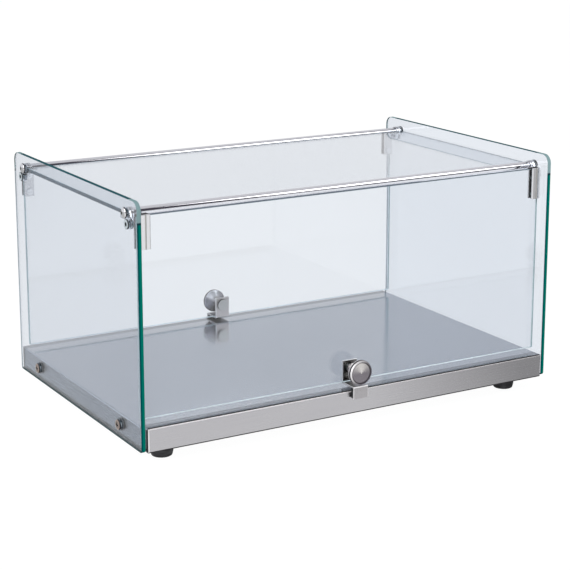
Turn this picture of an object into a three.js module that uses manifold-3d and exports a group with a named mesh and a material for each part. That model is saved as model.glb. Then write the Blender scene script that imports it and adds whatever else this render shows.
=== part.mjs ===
// Countertop bakery display case: glass sides and top, a lift-up glass door at the front and
// another at the rear, on a folded stainless base with four rubber feet.
// Millimetres. +X is the width, -Y the front, +Z up. z = 0 is the counter the feet stand on,
// x = y = 0 the centre of the case.

import * as THREE from "three";
import { mergeVertices } from "three/addons/utils/BufferGeometryUtils.js";
import Module from "manifold-3d";

const wasm = await Module();
wasm.setup();

// Case. The side glass stands from GLASS_RISE above the bottom of the base up to GLASS_H
const CASE_W = 560;
const CASE_D = 358;
const GLASS_H = 283;
const GLASS_RISE = 1;
const GLASS_T = 5;
const GLASS_TOP_R = 11;
const GLASS_BOTTOM_R = 4;
const ARRIS = 0.4;
const INNER_X = CASE_W / 2 - GLASS_T;
const FOOT_H = 17;

// Clearance left between neighbouring parts
const GAP = 0.2;

// Base
const BASE_W = 547;
const BASE_D = 362;
const BASE_H = 29.4;
const SHEET_T = 1.2;
const BEND_R = 2.4;
const BEND_STEPS = 5;
const RETURN_FLANGE = 50;
const STIFFENER_W = 60;
const STIFFENER_D = 340;
const STIFFENER_H = 20;
const FOOT_D = 27;
const FOOT_X = 240.5;
const FOOT_Y = 147.5;

// Screws that hold each side glass to the base
const BASE_SCREW_Y = 120;
const BASE_SCREW_Z = 17;
const BASE_SCREW_HEAD_D = 12.6;
const BASE_SCREW_HEAD_H = 2.4;
const RECESS_W = 1.7;
const RECESS_L = 6.6;
const RECESS_DEPTH = 1.4;
const BASE_SCREW_D = 4;
const BASE_SCREW_L = 20;
const SPACER_D = 15;
const SPACER_T = INNER_X - BASE_W / 2 - 2 * GAP;

// Rails across the top edges, measured from the case centre and the bottom of the side glass
const RAIL_Y = 148;
const RAIL_Z = 266.3;
const RAIL_D = 10;
const RAIL_HALF = 268;
const SPIGOT_D = 6.6;
const SPIGOT_L = 3.5;
const BOLT_D = 4;
const BOLT_HOLE_D = 4.6;
const RAIL_BORE_L = 12;
const RAIL_BOLT_L = CASE_W / 2 + GAP - RAIL_HALF + RAIL_BORE_L - 2;
const RAIL_BOLT_HEAD_D = 12.6;
const RAIL_BOLT_HEAD_H = 3.4;

// Corner brackets: a plate on the side glass with a ledge under the top glass
const BRACKET_T = 2.9;
const BRACKET_W = 12;
const LOWER_BOLT_Y = -6.5;
const LOWER_BOLT_Z = -11.3;
const LOWER_BOLT_HEAD_D = 11;
const LOWER_BOLT_HEAD_H = 1.8;
const LEDGE_W = 10.7;
const LEDGE_REACH = 17;
const LEDGE_D = 10.5;
const LEDGE_T = 2;
const TOP_GLASS_Z = 262.7;
const TOP_GLASS_W = 548;
const TOP_GLASS_D = 283.4;

// Doors
const DOOR_W = 541;
const DOOR_BOTTOM = 35.2;
const DOOR_TOP = 265.3;
const DOOR_FACE_Y = 166.5;

// Hinge clamps on the top corners of each door
const CLAMP_X = 265.5;
const CLAMP_W = 12;
const CLAMP_BOTTOM = 228;
const CLAMP_TOP = 266.5;
const PAD_T = 0.8;
const OUTER_PLATE_T = 2.4;
const INNER_PLATE_T = 2;
const EYE_D = 12;
const EYE_T = 3;
const EYE_BORE = 7.2;
const CLAMP_SCREW_Z = [233.5, 254.5];
const CLAMP_SCREW_D = 3.6;
const CLAMP_HOLE_D = 8;
const CLAMP_SCREW_HEAD_D = 8;
const CLAMP_SCREW_HEAD_H = 1.5;

// Knob and clip at the bottom of each door
const KNOB_Z = 51;
const KNOB_D = 30;
const KNOB_L = 22;
const KNOB_STEM_D = 10;
const KNOB_BOLT_D = 5;
const KNOB_BOLT_HEAD_D = 15.4;
const KNOB_BOLT_HEAD_H = 2.4;
const KNOB_BOLT_L = 19;
const CLIP_W = 20;
const CLIP_T = 2;
const CLIP_TOP = 61;
const CLIP_FLANGE_Z = 32.8;
const CLIP_BLOCK_D = 6;
const CLIP_BLOCK_H = 15;

// Facets round large and small turned shapes
const ROUND = 24;
const SMALL_ROUND = 16;

const paint = (color, roughness, metalness) =>
  new THREE.MeshStandardMaterial({ color, roughness, metalness });

// --- solids -------------------------------------------------------------------------------

function toSolid(geometry) {
  const bare = geometry.clone();
  bare.deleteAttribute("normal");
  bare.deleteAttribute("uv");
  const merged = mergeVertices(bare, 1e-4);
  return new wasm.Manifold(
    new wasm.Mesh({
      numProp: 3,
      vertProperties: new Float32Array(merged.attributes.position.array),
      triVerts: new Uint32Array(merged.index.array),
    })
  );
}

function toGeometry(solid) {
  const mesh = solid.getMesh();
  const geometry = new THREE.BufferGeometry();
  geometry.setAttribute("position", new THREE.BufferAttribute(mesh.vertProperties, 3));
  geometry.setIndex(new THREE.BufferAttribute(mesh.triVerts, 1));
  geometry.computeVertexNormals();
  return geometry;
}

// Box given by its low and high corners
function box(low, high) {
  const geometry = new THREE.BoxGeometry(high[0] - low[0], high[1] - low[1], high[2] - low[2]);
  geometry.translate((low[0] + high[0]) / 2, (low[1] + high[1]) / 2, (low[2] + high[2]) / 2);
  return toSolid(geometry);
}

// Round bar along X between two x positions
function barX(diameter, x0, x1, y, z, segments = SMALL_ROUND) {
  const geometry = new THREE.CylinderGeometry(diameter / 2, diameter / 2, x1 - x0, segments);
  geometry.rotateZ(-Math.PI / 2);
  geometry.translate((x0 + x1) / 2, y, z);
  return toSolid(geometry);
}

// Round bar along Y between two y positions
function barY(diameter, x, y0, y1, z, segments = SMALL_ROUND) {
  const geometry = new THREE.CylinderGeometry(diameter / 2, diameter / 2, y1 - y0, segments);
  geometry.translate(x, (y0 + y1) / 2, z);
  return toSolid(geometry);
}

const union = (solids) => wasm.Manifold.union(solids);
const cut = (solid, tools) => solid.subtract(union(tools));

// Rectangle with rounded corners; radii run anticlockwise from the lower left corner
function roundedRect(x0, y0, x1, y1, radii) {
  const [a, b, c, d] = radii;
  const shape = new THREE.Shape();
  shape.moveTo(x0 + a, y0);
  shape.lineTo(x1 - b, y0);
  shape.absarc(x1 - b, y0 + b, b, -Math.PI / 2, 0);
  shape.lineTo(x1, y1 - c);
  shape.absarc(x1 - c, y1 - c, c, 0, Math.PI / 2);
  shape.lineTo(x0 + d, y1);
  shape.absarc(x0 + d, y1 - d, d, Math.PI / 2, Math.PI);
  shape.lineTo(x0, y0 + a);
  shape.absarc(x0 + a, y0 + a, a, Math.PI, Math.PI * 1.5);
  return shape;
}

// Sheet of glass with ground arrises, lying in XY, from z = 0 up
function glassSheet(x0, y0, x1, y1, radii) {
  const inset = radii.map((radius) => radius - ARRIS);
  const shape = roundedRect(x0 + ARRIS, y0 + ARRIS, x1 - ARRIS, y1 - ARRIS, inset);
  const geometry = new THREE.ExtrudeGeometry(shape, {
    depth: GLASS_T - 2 * ARRIS,
    bevelThickness: ARRIS,
    bevelSize: ARRIS,
    bevelSegments: 1,
    curveSegments: 6,
  });
  geometry.translate(0, 0, ARRIS);
  return geometry;
}

// Turned part: profile points are [radius, distance along the axis]; the axis becomes +X
function turned(profile, segments) {
  const points = profile.map(([radius, along]) => new THREE.Vector2(radius, along));
  const geometry = new THREE.LatheGeometry(points, segments);
  geometry.rotateZ(-Math.PI / 2);
  return toSolid(geometry);
}

function part(name, solid, material, position = [0, 0, 0]) {
  const mesh = new THREE.Mesh(toGeometry(solid), material);
  mesh.name = name;
  mesh.position.set(...position);
  return mesh;
}

// --- base ---------------------------------------------------------------------------------

// Block with every edge rounded like a sheet-metal bend
function bentBlock(width, depth, z0, z1, radius) {
  const r = [radius, radius, radius, radius];
  const extrude = (x0, y0, x1, y1, length) =>
    new THREE.ExtrudeGeometry(roundedRect(x0, y0, x1, y1, r), {
      depth: length,
      bevelEnabled: false,
      curveSegments: BEND_STEPS,
    });
  const front = extrude(-width / 2, z0, width / 2, z1, depth);
  front.rotateX(Math.PI / 2);
  front.translate(0, depth / 2, 0);
  const side = extrude(-depth / 2, z0, depth / 2, z1, width);
  side.rotateX(Math.PI / 2);
  side.rotateZ(Math.PI / 2);
  side.translate(-width / 2, 0, 0);
  const plan = extrude(-width / 2, -depth / 2, width / 2, depth / 2, z1 - z0);
  plan.translate(0, 0, z0);
  return toSolid(front).intersect(toSolid(side)).intersect(toSolid(plan));
}

// Folded stainless pan: deck, four walls and a flange turned in all round at the bottom
function baseShell() {
  const outside = bentBlock(BASE_W, BASE_D, 0, BASE_H, BEND_R);
  const w = BASE_W - 2 * SHEET_T;
  const d = BASE_D - 2 * SHEET_T;
  const inside = bentBlock(w, d, SHEET_T, BASE_H - SHEET_T, BEND_R - SHEET_T);
  const openX = BASE_W / 2 - RETURN_FLANGE;
  const openY = BASE_D / 2 - RETURN_FLANGE;
  const opening = box([-openX, -openY, -1], [openX, openY, SHEET_T + 1]);
  const screwHoles = [-1, 1].map((end) =>
    barX(BOLT_HOLE_D, -BASE_W / 2 - 1, BASE_W / 2 + 1, end * BASE_SCREW_Y, BASE_SCREW_Z)
  );
  return cut(outside, [inside, opening, ...screwHoles]);
}

// Channel folded from sheet that backs up the middle of the deck
function deckStiffener() {
  const w = STIFFENER_W / 2;
  const d = STIFFENER_D / 2;
  const channel = box([-w, -d, -STIFFENER_H], [w, d, 0]);
  const hollow = box([-w + SHEET_T, -d - 1, -STIFFENER_H - 1], [w - SHEET_T, d + 1, -SHEET_T]);
  return cut(channel, [hollow]);
}

// Rubber foot with a rounded skirt and a counterbored fixing hole, standing on z = 0
function foot() {
  const r = FOOT_D / 2;
  const h = FOOT_H - GAP;
  const skirt = [
    [2.2, h],
    [2.2, h / 2],
    [6, h / 2],
    [6, 0],
    [r * 0.74, 0],
    [r * 0.86, 0.6],
    [r * 0.95, 2.4],
    [r, 5.5],
    [r, h - 1],
    [r - 1, h],
    [2.2, h],
  ];
  const points = skirt.map(([radius, z]) => new THREE.Vector2(radius, z));
  const geometry = new THREE.LatheGeometry(points, ROUND);
  geometry.rotateX(Math.PI / 2);
  return toSolid(geometry);
}

function addBase(root) {
  const steel = paint(0xb2b3b8, 0.3, 1);
  const galvanised = paint(0x8f949a, 0.5, 1);
  const rubber = paint(0x1b1b1d, 0.75, 0);
  root.add(part("base_shell", baseShell(), steel, [0, 0, FOOT_H]));
  const stiffenerZ = FOOT_H + BASE_H - SHEET_T - GAP;
  root.add(part("deck_stiffener", deckStiffener(), galvanised, [0, 0, stiffenerZ]));
  for (const [end, y] of [["front", -FOOT_Y], ["rear", FOOT_Y]]) {
    for (const [side, x] of [["left", -FOOT_X], ["right", FOOT_X]]) {
      root.add(part(`foot_${end}_${side}`, foot(), rubber, [x, y, 0]));
    }
  }
}

// --- side glass ---------------------------------------------------------------------------

// Upright sheet in the YZ plane, outer face at x = 0, inner face at x = -GLASS_T
function sideGlass() {
  const radii = [GLASS_BOTTOM_R, GLASS_BOTTOM_R, GLASS_TOP_R, GLASS_TOP_R];
  const geometry = glassSheet(-CASE_D / 2, GLASS_RISE, CASE_D / 2, GLASS_H, radii);
  geometry.rotateX(Math.PI / 2);
  geometry.rotateZ(Math.PI / 2);
  geometry.translate(-GLASS_T, 0, 0);
  const holes = [];
  for (const end of [-1, 1]) {
    holes.push(barX(8, -GLASS_T - 1, 1, end * BASE_SCREW_Y, BASE_SCREW_Z, ROUND));
    holes.push(barX(6, -GLASS_T - 1, 1, end * RAIL_Y, RAIL_Z));
    const lowerY = end * (RAIL_Y - LOWER_BOLT_Y);
    holes.push(barX(5.4, -GLASS_T - 1, 1, lowerY, RAIL_Z + LOWER_BOLT_Z));
  }
  return cut(toSolid(geometry), holes);
}

// Screw along -X from a flat pan head whose underside is at x = 0, with a cross recess
function baseScrew() {
  const r = BASE_SCREW_HEAD_D / 2;
  const h = BASE_SCREW_HEAD_H;
  const head = turned(
    [
      [0, -BASE_SCREW_L],
      [BASE_SCREW_D / 2, -BASE_SCREW_L],
      [BASE_SCREW_D / 2, 0],
      [r, 0],
      [r, h * 0.45],
      [r * 0.95, h * 0.75],
      [r * 0.84, h * 0.92],
      [r * 0.6, h],
      [0, h],
    ],
    ROUND
  );
  const w = RECESS_W / 2;
  const l = RECESS_L / 2;
  const slots = [
    box([h - RECESS_DEPTH, -l, -w], [h + 1, l, w]),
    box([h - RECESS_DEPTH, -w, -l], [h + 1, w, l]),
  ];
  return cut(head, slots);
}

// Washer between a side glass and the base wall, thickness along X
function glassSpacer() {
  const disc = barX(SPACER_D, 0, SPACER_T, 0, 0, ROUND);
  return cut(disc, [barX(BOLT_HOLE_D, -1, SPACER_T + 1, 0, 0)]);
}

function addSides(root) {
  const glass = paint(0xd6e8e4, 0.03, 0);
  const screwSteel = paint(0xa79f9a, 0.3, 1);
  const nylon = paint(0x33373b, 0.6, 0);
  for (const [side, sign] of [["left", -1], ["right", 1]]) {
    const group = new THREE.Group();
    group.rotation.z = sign < 0 ? Math.PI : 0;
    group.position.z = FOOT_H;
    group.add(part(`side_glass_${side}`, sideGlass(), glass, [CASE_W / 2, 0, 0]));
    for (const [end, y] of [["front", -BASE_SCREW_Y], ["rear", BASE_SCREW_Y]]) {
      const label = `${end}_${side}`;
      const place = [CASE_W / 2 + GAP, sign * y, BASE_SCREW_Z];
      group.add(part(`base_screw_${label}`, baseScrew(), screwSteel, place));
      const washerPlace = [BASE_W / 2 + GAP, sign * y, BASE_SCREW_Z];
      group.add(part(`glass_spacer_${label}`, glassSpacer(), nylon, washerPlace));
    }
    root.add(group);
  }
}

// --- rails, corner brackets and top glass ---------------------------------------------------

// Polished bar across the case, along X, with a turned spigot and a tapped hole at each end
function rail() {
  const end = RAIL_HALF + SPIGOT_L;
  const bottom = RAIL_HALF - RAIL_BORE_L;
  const half = [
    [0, bottom],
    [BOLT_HOLE_D / 2, bottom],
    [BOLT_HOLE_D / 2, end],
    [SPIGOT_D / 2, end],
    [SPIGOT_D / 2, RAIL_HALF],
    [RAIL_D / 2 - 0.5, RAIL_HALF],
    [RAIL_D / 2, RAIL_HALF - 0.5],
  ];
  const mirrored = half.map(([radius, along]) => [radius, -along]);
  return turned([...mirrored, ...half.reverse()], ROUND);
}

// Domed bolt with a hexagon socket, head outside the glass, shank along -X
function railBolt() {
  const r = RAIL_BOLT_HEAD_D / 2;
  const h = RAIL_BOLT_HEAD_H;
  const bolt = turned(
    [
      [0, -RAIL_BOLT_L],
      [BOLT_D / 2, -RAIL_BOLT_L],
      [BOLT_D / 2, 0],
      [r, 0],
      [r, h * 0.24],
      [r * 0.92, h * 0.6],
      [r * 0.7, h * 0.88],
      [r * 0.42, h],
      [0, h],
    ],
    ROUND
  );
  return cut(bolt, [barX(4.6, h - 2, h + 1, 0, 0, 6)]);
}

// Flat-headed bolt with a hexagon socket that holds the bottom of a corner bracket
function bracketBolt() {
  const r = LOWER_BOLT_HEAD_D / 2;
  const h = LOWER_BOLT_HEAD_H;
  const reach = GLASS_T + BRACKET_T - 0.3;
  const bolt = turned(
    [
      [0, -reach],
      [BOLT_D / 2, -reach],
      [BOLT_D / 2, 0],
      [r, 0],
      [r, h - 0.6],
      [r - 0.6, h],
      [0, h],
    ],
    ROUND
  );
  return cut(bolt, [barX(4, h - 1.2, h + 1, 0, 0, 6)]);
}

// Corner bracket around the rail axis. Local x = 0 is the inner face of the side glass and
// the part runs towards -side; +Y is towards the inside of the case
function cornerBracket(side) {
  const span = (x0, x1) => (side > 0 ? [-x1, -x0] : [x0, x1]);
  const [p0, p1] = span(GAP, GAP + BRACKET_T);
  const upper = barX(BRACKET_W, p0, p1, 0, 0, ROUND);
  const lower = barX(BRACKET_W, p0, p1, LOWER_BOLT_Y, LOWER_BOLT_Z, ROUND);
  const ledgeTop = TOP_GLASS_Z - RAIL_Z - GAP;
  const arm = box([p0, 0, ledgeTop - 4.6], [p1, LEDGE_REACH, ledgeTop]);
  const [l0, l1] = span(GAP, GAP + LEDGE_W);
  const ledgeLow = [l0, LEDGE_REACH - LEDGE_D, ledgeTop - LEDGE_T];
  const ledge = box(ledgeLow, [l1, LEDGE_REACH, ledgeTop]);
  const body = union([upper.add(lower).hull(), arm, ledge]);
  const holes = [
    barX(BOLT_HOLE_D, p0 - 1, p1 + 1, 0, 0),
    barX(BOLT_HOLE_D, p0 - 1, p1 + 1, LOWER_BOLT_Y, LOWER_BOLT_Z),
  ];
  return cut(body, holes);
}

function topGlass() {
  const w = TOP_GLASS_W / 2;
  const d = TOP_GLASS_D / 2;
  return toSolid(glassSheet(-w, -d, w, d, [3, 3, 3, 3]));
}

// --- doors --------------------------------------------------------------------------------

// Door glass in the XZ plane, outer face at y = 0, inner face at y = +GLASS_T
function doorGlass() {
  const w = DOOR_W / 2;
  const geometry = glassSheet(-w, DOOR_BOTTOM, w, DOOR_TOP, [1.2, 1.2, 3, 3]);
  geometry.rotateX(Math.PI / 2);
  geometry.translate(0, GLASS_T, 0);
  const holes = [barY(8, 0, -1, GLASS_T + 1, KNOB_Z, ROUND)];
  for (const x of [-CLAMP_X, CLAMP_X]) {
    for (const z of CLAMP_SCREW_Z) {
      holes.push(barY(CLAMP_HOLE_D, x, -1, GLASS_T + 1, z));
    }
  }
  return cut(toSolid(geometry), holes);
}

// The clamp parts share one frame: x = 0 is the middle of the clamp, y = 0 the outer face of
// the door glass with +Y inwards, z measured like the door
const clampBox = (y0, y1, z0, z1) => box([-CLAMP_W / 2, y0, z0], [CLAMP_W / 2, y1, z1]);

function clampOuter() {
  const back = -PAD_T - 2 * GAP;
  const face = back - OUTER_PLATE_T;
  const plate = clampBox(face, back, CLAMP_BOTTOM, CLAMP_TOP);
  const tapped = CLAMP_SCREW_Z.map((z) => barY(4.2, 0, back - 1.7, back + 1, z));
  const edge = new THREE.BoxGeometry(1.4, 4, CLAMP_TOP - CLAMP_BOTTOM + 4);
  const chamfers = [-1, 1].map((side) => {
    const tool = edge.clone();
    tool.rotateZ(side * Math.PI / 4);
    tool.translate(side * CLAMP_W / 2, face, (CLAMP_TOP + CLAMP_BOTTOM) / 2);
    return toSolid(tool);
  });
  return cut(plate, [...tapped, ...chamfers]);
}

// U-shaped rubber pad folded over the top edge of the door glass
function clampPad() {
  const low = CLAMP_BOTTOM + 0.5;
  const high = CLAMP_TOP - GAP;
  const outside = clampBox(-PAD_T - GAP, GLASS_T + PAD_T + GAP, low, high);
  const mouth = box([-CLAMP_W, -GAP, low - 1], [CLAMP_W, GLASS_T + GAP, DOOR_TOP + GAP]);
  const holes = CLAMP_SCREW_Z.map((z) => barY(4.6, 0, -PAD_T - 1, GLASS_T + PAD_T + 1, z));
  return cut(outside, [mouth, ...holes]);
}

// Inner plate with the eye that turns on the rail spigot
function clampInner(side) {
  const face = GLASS_T + PAD_T + 2 * GAP;
  const back = face + INNER_PLATE_T;
  const eyeY = DOOR_FACE_Y - RAIL_Y;
  const e1 = side * (RAIL_HALF + 0.4 - CLAMP_X);
  const e0 = e1 + side * EYE_T;
  const [x0, x1] = e0 < e1 ? [e0, e1] : [e1, e0];
  const plate = clampBox(face, back, CLAMP_BOTTOM, CLAMP_TOP);
  const eye = barX(EYE_D, x0, x1, eyeY, RAIL_Z, ROUND);
  const web = box([x0, face, RAIL_Z - 9], [x1, eyeY, CLAMP_TOP]);
  const bore = barX(EYE_BORE, x0 - 1, x1 + 1, eyeY, RAIL_Z, ROUND);
  const holes = CLAMP_SCREW_Z.map((z) => barY(4.2, 0, face - 1, back + 1, z));
  return cut(union([plate, eye, web]), [bore, ...holes]);
}

// Slotted clamp screw: head inside the case, shank towards the outer plate
function clampScrew() {
  const r = CLAMP_SCREW_HEAD_D / 2;
  const h = CLAMP_SCREW_HEAD_H;
  const seat = GLASS_T + PAD_T + 3 * GAP + INNER_PLATE_T;
  const tip = -PAD_T - 2 * GAP - 1.4;
  const shank = barY(CLAMP_SCREW_D, 0, tip, seat + 0.5, 0, 16);
  const head = barY(CLAMP_SCREW_HEAD_D, 0, seat, seat + h, 0, 24);
  const slot = box([-r - 1, seat + h - 0.8, -0.6], [r + 1, seat + h + 1, 0.6]);
  return cut(head.add(shank), [slot]);
}

// Knob turned from bar, axis along Y: seat against the glass at y = 0, face towards -Y
function knob() {
  const r = KNOB_D / 2;
  const s = KNOB_STEM_D / 2;
  const l = KNOB_L;
  const profile = [
    [0, 14.5],
    [2.8, 14.5],
    [2.8, 0],
    [6.5, 0],
    [6.5, 1.6],
    [s, 2.6],
    [s, 9],
    [s + 3, 14],
    [r - 1, l - 6],
    [r, l - 5],
    [r, l - 1.6],
    [r - 0.9, l - 0.5],
    [r * 0.82, l - 0.1],
    [r * 0.78, l - 0.9],
    [r * 0.75, l - 0.9],
    [r * 0.72, l - 0.4],
    [0, l],
  ];
  const points = profile.map(([radius, along]) => new THREE.Vector2(radius, along));
  const geometry = new THREE.LatheGeometry(points, 40);
  geometry.rotateX(Math.PI);
  return toSolid(geometry);
}

// Bolt from inside the case through the clip and the glass into the knob
function knobBolt() {
  const seat = GLASS_T + CLIP_T + 3 * GAP;
  const head = barY(KNOB_BOLT_HEAD_D, 0, seat, seat + KNOB_BOLT_HEAD_H, 0, ROUND);
  const shank = barY(KNOB_BOLT_D, 0, seat - KNOB_BOLT_L, seat + 0.5, 0, SMALL_ROUND);
  return head.add(shank);
}

// Clip: plate behind the glass, flange under its bottom edge, block in front of the base
function clip() {
  const plateFace = GLASS_T + 2 * GAP;
  const plateBack = plateFace + CLIP_T;
  const flangeTop = CLIP_FLANGE_Z + CLIP_T;
  const blockBack = -(BASE_D / 2 - DOOR_FACE_Y) - 3 * GAP;
  const blockFace = blockBack - CLIP_BLOCK_D;
  const x = CLIP_W / 2;
  const plate = box([-x, plateFace, CLIP_FLANGE_Z], [x, plateBack, CLIP_TOP]);
  const flange = box([-x, blockFace, CLIP_FLANGE_Z], [x, plateBack, flangeTop]);
  const block = roundedRect(-x, flangeTop - CLIP_BLOCK_H, x, flangeTop, [1.5, 1.5, 1, 1]);
  const blockGeometry = new THREE.ExtrudeGeometry(block, {
    depth: CLIP_BLOCK_D,
    bevelEnabled: false,
    curveSegments: 4,
  });
  blockGeometry.rotateX(Math.PI / 2);
  blockGeometry.translate(0, blockBack, 0);
  const hole = barY(KNOB_BOLT_D + 0.8, 0, plateFace - 1, plateBack + 1, KNOB_Z);
  return cut(union([plate, flange, toSolid(blockGeometry)]), [hole]);
}

// --- one end of the case: rail, brackets and door, built at the front -------------------------

function addEnd(root, end, turn) {
  const chrome = paint(0xd9dadd, 0.12, 1);
  const brushed = paint(0xb5b5b9, 0.32, 1);
  const glass = paint(0xd6e8e4, 0.03, 0);
  const rubber = paint(0x151517, 0.7, 0);
  const group = new THREE.Group();
  group.rotation.z = turn;
  group.position.z = FOOT_H;
  root.add(group);

  group.add(part(`rail_${end}`, rail(), chrome, [0, -RAIL_Y, RAIL_Z]));
  group.add(part(`door_glass_${end}`, doorGlass(), glass, [0, -DOOR_FACE_Y, 0]));
  const knobPlace = [0, -DOOR_FACE_Y - GAP, KNOB_Z];
  group.add(part(`knob_${end}`, knob(), brushed, knobPlace));
  group.add(part(`knob_bolt_${end}`, knobBolt(), chrome, [0, -DOOR_FACE_Y, KNOB_Z]));
  group.add(part(`clip_${end}`, clip(), brushed, [0, -DOOR_FACE_Y, 0]));

  for (const side of [-1, 1]) {
    const onRight = turn === 0 ? side > 0 : side < 0;
    const label = `${end}_${onRight ? "right" : "left"}`;
    const outward = new THREE.Group();
    outward.rotation.z = side > 0 ? 0 : Math.PI;
    outward.position.set(side * (CASE_W / 2 + GAP), -RAIL_Y, RAIL_Z);
    outward.add(part(`rail_bolt_${label}`, railBolt(), chrome));
    const lowerPlace = [0, side * LOWER_BOLT_Y, LOWER_BOLT_Z];
    outward.add(part(`bracket_bolt_${label}`, bracketBolt(), chrome, lowerPlace));
    group.add(outward);

    const bracketPlace = [side * INNER_X, -RAIL_Y, RAIL_Z];
    group.add(part(`corner_bracket_${label}`, cornerBracket(side), chrome, bracketPlace));

    const clampPlace = [side * CLAMP_X, -DOOR_FACE_Y, 0];
    group.add(part(`clamp_outer_${label}`, clampOuter(), chrome, clampPlace));
    group.add(part(`clamp_inner_${label}`, clampInner(side), chrome, clampPlace));
    group.add(part(`clamp_pad_${label}`, clampPad(), rubber, clampPlace));
    CLAMP_SCREW_Z.forEach((z, index) => {
      const name = `clamp_screw_${index === 0 ? "lower" : "upper"}_${label}`;
      group.add(part(name, clampScrew(), chrome, [side * CLAMP_X, -DOOR_FACE_Y, z]));
    });
  }
}

const root = new THREE.Group();
root.name = "bakery_display_case";
addBase(root);
addSides(root);
addEnd(root, "front", 0);
addEnd(root, "rear", Math.PI);
const clearGlass = paint(0xd6e8e4, 0.03, 0);
root.add(part("top_glass", topGlass(), clearGlass, [0, 0, FOOT_H + TOP_GLASS_Z]));

export default root;
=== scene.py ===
from math import cos, pi, radians, sin, tan

import bmesh
import bpy
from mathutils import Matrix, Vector


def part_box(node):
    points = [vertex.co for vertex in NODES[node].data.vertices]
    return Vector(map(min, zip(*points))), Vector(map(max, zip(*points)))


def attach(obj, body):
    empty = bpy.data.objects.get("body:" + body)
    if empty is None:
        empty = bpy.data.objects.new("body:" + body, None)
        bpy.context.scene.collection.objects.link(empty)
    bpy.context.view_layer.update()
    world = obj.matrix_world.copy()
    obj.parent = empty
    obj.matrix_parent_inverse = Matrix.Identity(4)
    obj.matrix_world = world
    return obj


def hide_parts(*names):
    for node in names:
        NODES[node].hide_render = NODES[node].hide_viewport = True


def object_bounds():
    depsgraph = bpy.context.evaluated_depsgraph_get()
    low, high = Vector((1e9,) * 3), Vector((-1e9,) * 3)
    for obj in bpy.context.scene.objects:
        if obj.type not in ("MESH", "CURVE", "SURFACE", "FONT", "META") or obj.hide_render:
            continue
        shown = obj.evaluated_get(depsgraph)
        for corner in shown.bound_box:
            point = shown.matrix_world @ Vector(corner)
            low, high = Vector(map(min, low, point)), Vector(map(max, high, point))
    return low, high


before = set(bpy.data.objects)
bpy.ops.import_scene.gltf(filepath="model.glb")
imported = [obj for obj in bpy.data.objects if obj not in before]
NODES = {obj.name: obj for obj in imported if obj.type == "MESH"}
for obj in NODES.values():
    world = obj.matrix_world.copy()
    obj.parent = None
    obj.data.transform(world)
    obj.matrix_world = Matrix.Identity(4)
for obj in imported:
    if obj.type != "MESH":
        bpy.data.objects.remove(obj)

MM = 0.001
ENDS = ("front", "rear")
SIDES = ("left", "right")
CORNERS = [f"{end}_{side}" for end in ENDS for side in SIDES]

# Turned pieces, and the angle in degrees above which an edge stays sharp
SEGMENTS = 72
ROUND_STEPS = 6
SHARP_ANGLE = 32

# Camera: where it looks on the case, from which side and how far away
AIM = Vector((0.006, 0.0, 0.2043))
CAMERA_AZIMUTH = -30.17
CAMERA_ELEVATION = 12.89
CAMERA_DISTANCE = 2.053
CAMERA_LENS = 103.75
CAMERA_SHIFT = -0.1

# Room: half the floor's width, its brightness and that of the walls from low to high
FLOOR_HALF = 30.0
FLOOR_GLOW = 0.97
ROOM_TONES = [(0.0, 0.94), (0.1, 0.86), (0.2, 0.77), (0.3, 0.70), (1.0, 0.64)]

cad_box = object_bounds()


# --- places taken from the frame -------------------------------------------------------------

def middle(node):
    low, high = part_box(node)
    return (low + high) / 2


def outward(end):
    """Direction out of the case at the front or the rear."""
    return Vector((0, -1, 0)) if end == "front" else Vector((0, 1, 0))


def sideways(side):
    """Direction out of the case at the left or the right."""
    return Vector((-1, 0, 0)) if side == "left" else Vector((1, 0, 0))


# --- node helpers ------------------------------------------------------------------------------

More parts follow.
